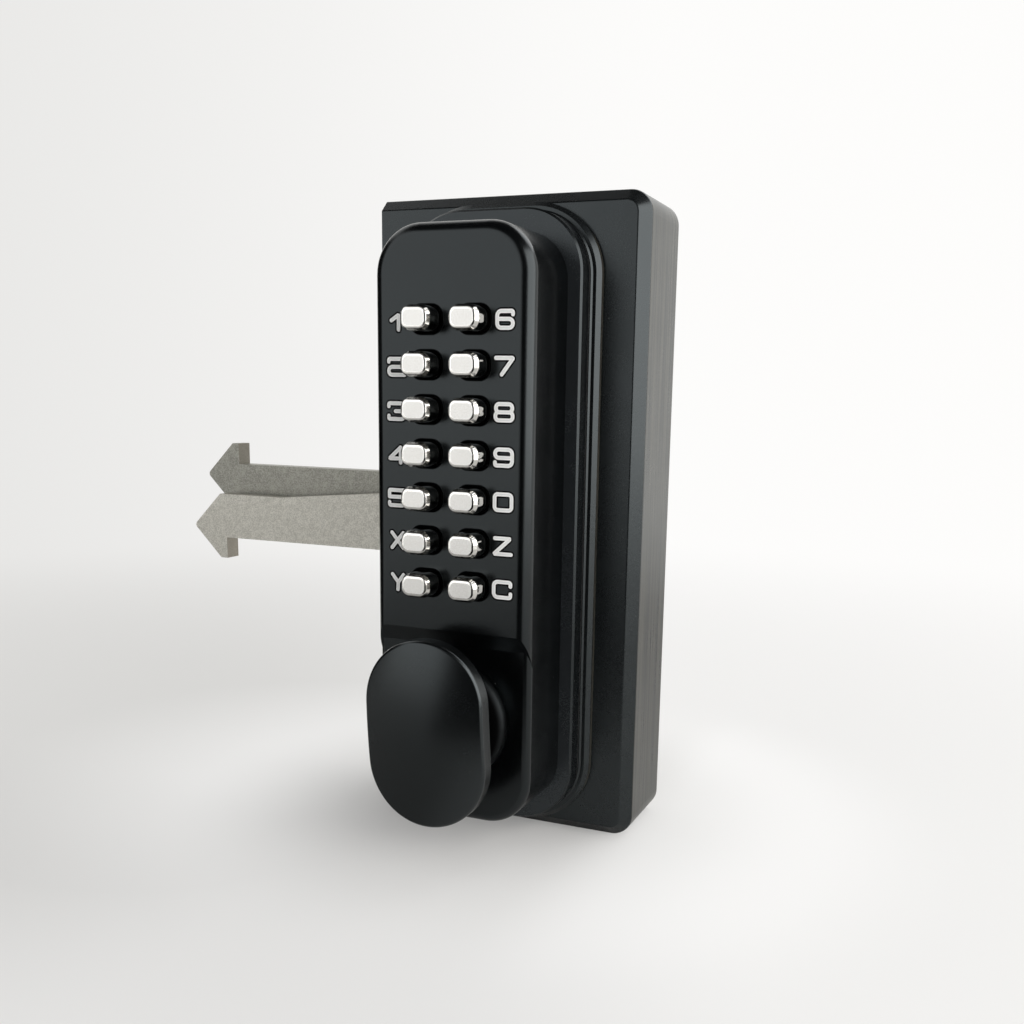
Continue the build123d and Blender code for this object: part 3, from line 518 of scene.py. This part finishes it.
def dress_nodes():
    """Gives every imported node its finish."""
    keypad = black_coat("keypad_coat", (0.0009, 0.0011, 0.0013), 0.20, 2.0, painted_shade=painted_keypad_shade)
    plate = black_coat("plate_coat", (0.0015, 0.0019, 0.0022), 0.24, 2.0, front_sheen=0.035)
    knob = black_coat("knob_coat", (0.0009, 0.0011, 0.0013), 0.23, crown=3.2, ior=1.62)
    case = black_coat("case_coat", (0.0020, 0.0025, 0.0028), 0.25, 3.0, brushed=True, ior=1.56, front_sheen=0.006)
    # Painted light and shade: the upper hook's steel is painted darker, as the shade behind the lower hook,
    # and the lower's lighter
    shaded_hook_steel = hook_steel("tumbled_stainless_painted_shade", (0.245, 0.243, 0.215), (0.455, 0.45, 0.405))
    lit_hook_steel = hook_steel("tumbled_stainless_painted_light", (0.45, 0.44, 0.395), (0.74, 0.725, 0.665))
    chrome = button_chrome()
    steel = bare_metal("drawn_steel", (0.55, 0.55, 0.56), 0.3)
    zinc = bare_metal("zinc_plate", (0.62, 0.62, 0.60), 0.25)
    brass = bare_metal("machined_brass", (0.72, 0.55, 0.27), 0.25)
    rubber = gasket_rubber()
    by_node = {
        "case_body": case, "back_cover": case, "keypad_housing": keypad, "base_plate": plate,
        "knob": knob, "upper_hook": shaded_hook_steel, "lower_hook": lit_hook_steel, "gasket": rubber,
        "cover_screws": zinc, "keypad_screws": zinc, "chamber_screws": zinc,
        "code_chamber": brass, "lock_plate": brass, "knob_bush": brass, "hook_spacers": brass,
    }
    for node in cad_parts:
        is_button = node.startswith("button_") and not node.startswith("button_spring")
        dress(node, by_node.get(node, chrome if is_button else steel))


def make_stage():
    """A pale sweep: a floor that turns up on a wide arc into a wall, y and z along one profile."""
    floor_front, turn_start, turn_radius, wall_top, half_width = -3.0, 0.9, 0.8, 2.6, 7.0
    wall = turn_start + turn_radius
    angle = np.linspace(0, math.pi / 2, 25)
    turned = angle[1:]
    y = np.r_[np.linspace(floor_front, turn_start, 30), turn_start + turn_radius * np.sin(turned),
              np.full(6, wall)]
    z = np.r_[np.full(30, 0.0), turn_radius * (1 - np.cos(turned)),
              np.linspace(turn_radius, wall_top, 7)[1:]]
    x = np.linspace(-half_width, half_width, 9)
    grid = np.stack(np.broadcast_arrays(x[None], y[:, None], FLOOR + z[:, None]), axis=2)
    f = Finish("pale_sweep")
    place = f.place()
    right, back = f.axis(place, "X"), f.axis(place, "Y")
    away = ((right - 0.04) * (right - 0.04) + back * back) ** 0.5
    far = away.above(0.12, 0.75)
    seen = f.node("ShaderNodeLightPath", out="Is Camera Ray")
    mirrored = f.node("ShaderNodeLightPath", out="Is Glossy Ray")
    # Painted shade in mirrors: a mirrored floor is painted dim close by, and dark toward the photographer and
    # the far left
    photographer = (f.toward(place, TOWARD_PHOTOGRAPHER) / away).above(0.86, 0.95)
    far_left = (f.toward(place, TOWARD_FAR_LEFT) / away).above(0.78, 0.88)
    dark = photographer.most(far_left) * away.above(0.14, 0.26)
    # Painted light: just right of the lock, the floor gives more of its own glow
    painted_light_right = 0.20 * right.above(0.07, 0.10) * (1 - away.above(0.08, 0.16))
    open_floor = 0.20 + 0.49 * away.above(0.02, 0.12) + 0.27 * far + painted_light_right
    before = (1 - back.above(-0.05, 0.05)) * (1 - (right / away).above(0.2, 0.7))
    # The share of its own light that the floor gives: in the picture, and in a mirror
    share = seen * open_floor + mirrored * (0.45 * before).most(far).most(dark)
    lit = f.node("ShaderNodeBsdfDiffuse", {"Color": (0.77, 0.765, 0.75, 1.0)})
    # Painted light and shade: it pales from the left to the right, and is painted a little darker before the
    # lock
    painted_light_rightward = (right / away + 0.3 * far).above(-0.80, 0.10).most(1 - away.above(0.08, 0.22))
    painted_shade_fall = 0.015 * (1 - far) * away.above(0.10, 0.16)
    painted_shade_front = 0.14 * (1 - back.above(-0.12, -0.02)) * (1 - right.above(0.08, 0.16)) * (1 - far)
    pale = f.mix(painted_light_rightward, (0.77, 0.765, 0.75), (1.0, 0.995, 0.985))
    pale = f.mix(painted_shade_fall + painted_shade_front, pale, (0.0, 0.0, 0.0))
    dim = f.mix(far * (1 - dark), (0.0, 0.0, 0.0), (1.10, 1.09, 1.06))
    glow = f.node("ShaderNodeEmission", {"Color": f.mix(mirrored, pale, dim), "Strength": 1.0})
    f.node("ShaderNodeOutputMaterial", {"Surface": f.node("ShaderNodeMixShader", [share, lit, glow])})
    piece = mesh_piece("floor_sweep", grid.reshape(-1, 3), grid_faces(*grid.shape[:2]), f.owner)


def soft_light(name, place, target, size, watts, colour=(1.0, 1.0, 1.0)):
    """A rectangular lamp that faces its target and isn't seen itself."""
    lamp = bpy.data.lights.new(name, "AREA")
    lamp.shape = "RECTANGLE"
    lamp.size, lamp.size_y = size
    lamp.energy = watts
    lamp.color = colour
    thing = bpy.data.objects.new(name, lamp)
    thing.location = place
    thing.rotation_euler = (Vector(target) - Vector(place)).to_track_quat("-Z", "Y").to_euler()
    thing.visible_camera = False
    bpy.context.scene.collection.objects.link(thing)


def make_light():
    """A pale room that is dark where the photographer stands, over the front and at the far left, with
    a wide window at the right and a soft light above and behind."""
    f = Finish("pale_room", world=True)
    direction = f.node("ShaderNodeTexCoord", out="Generated")
    photographer = f.toward(direction, (0.205, -0.963, 0.17)).above(0.899, 0.951)
    ceiling = f.toward(direction, (0.0, -0.34, 0.94)).above(0.64, 0.79)
    left = f.toward(direction, (-0.5, -0.866, 0.0)).above(0.6, 0.95)
    far_left = f.toward(direction, TOWARD_FAR_LEFT).above(0.78, 0.88)
    strength = (1.0 + 0.4 * left) * (1.0 - 0.97 * photographer.most(ceiling).most(far_left))
    seen = f.node("ShaderNodeLightPath", out="Is Camera Ray")
    shown = strength * (1.0 - seen) + 0.93 * seen
    room = f.node("ShaderNodeBackground", {"Color": (1.0, 0.995, 0.985, 1.0), "Strength": shown})
    f.node("ShaderNodeOutputWorld", {"Surface": room})
    bpy.context.scene.world = f.owner
    soft_light("window", (1.18, -0.28, 0.42), (0.04, 0, 0), (1.7, 1.1), 15.0, (1.0, 0.975, 0.95))
    soft_light("skylight", (0.7, 0.9, 1.4), (0.04, 0, 0), (1.2, 1.2), 9.0)


def make_camera():
    """The photograph's view: right, up and back vectors from azimuth, elevation and roll."""
    azimuth, elevation, roll = (math.radians(a) for a in (CAMERA_AZIMUTH, CAMERA_ELEVATION, CAMERA_ROLL))
    ahead = Vector((-math.sin(azimuth) * math.cos(elevation), math.cos(azimuth) * math.cos(elevation),
                    -math.sin(elevation)))
    level = ahead.cross(Vector((0, 0, 1))).normalized()
    upright = level.cross(ahead)
    right = level * math.cos(roll) + upright * math.sin(roll)
    up = right.cross(ahead)
    data = bpy.data.cameras.new("camera")
    data.sensor_fit = "HORIZONTAL"
    data.sensor_width = 36.0
    data.lens = CAMERA_LENS
    data.shift_x, data.shift_y = CAMERA_SHIFT
    data.clip_start = 0.01
    camera = bpy.data.objects.new("camera", data)
    turn = Matrix((right, up, -ahead)).transposed().to_4x4()
    camera.matrix_world = Matrix.Translation(CAMERA_PLACE) @ turn
    bpy.context.scene.collection.objects.link(camera)
    bpy.context.scene.camera = camera
    bpy.context.scene.view_settings.view_transform = "Standard"


dress_nodes()
make_legends()
make_stage()
make_light()
make_camera()
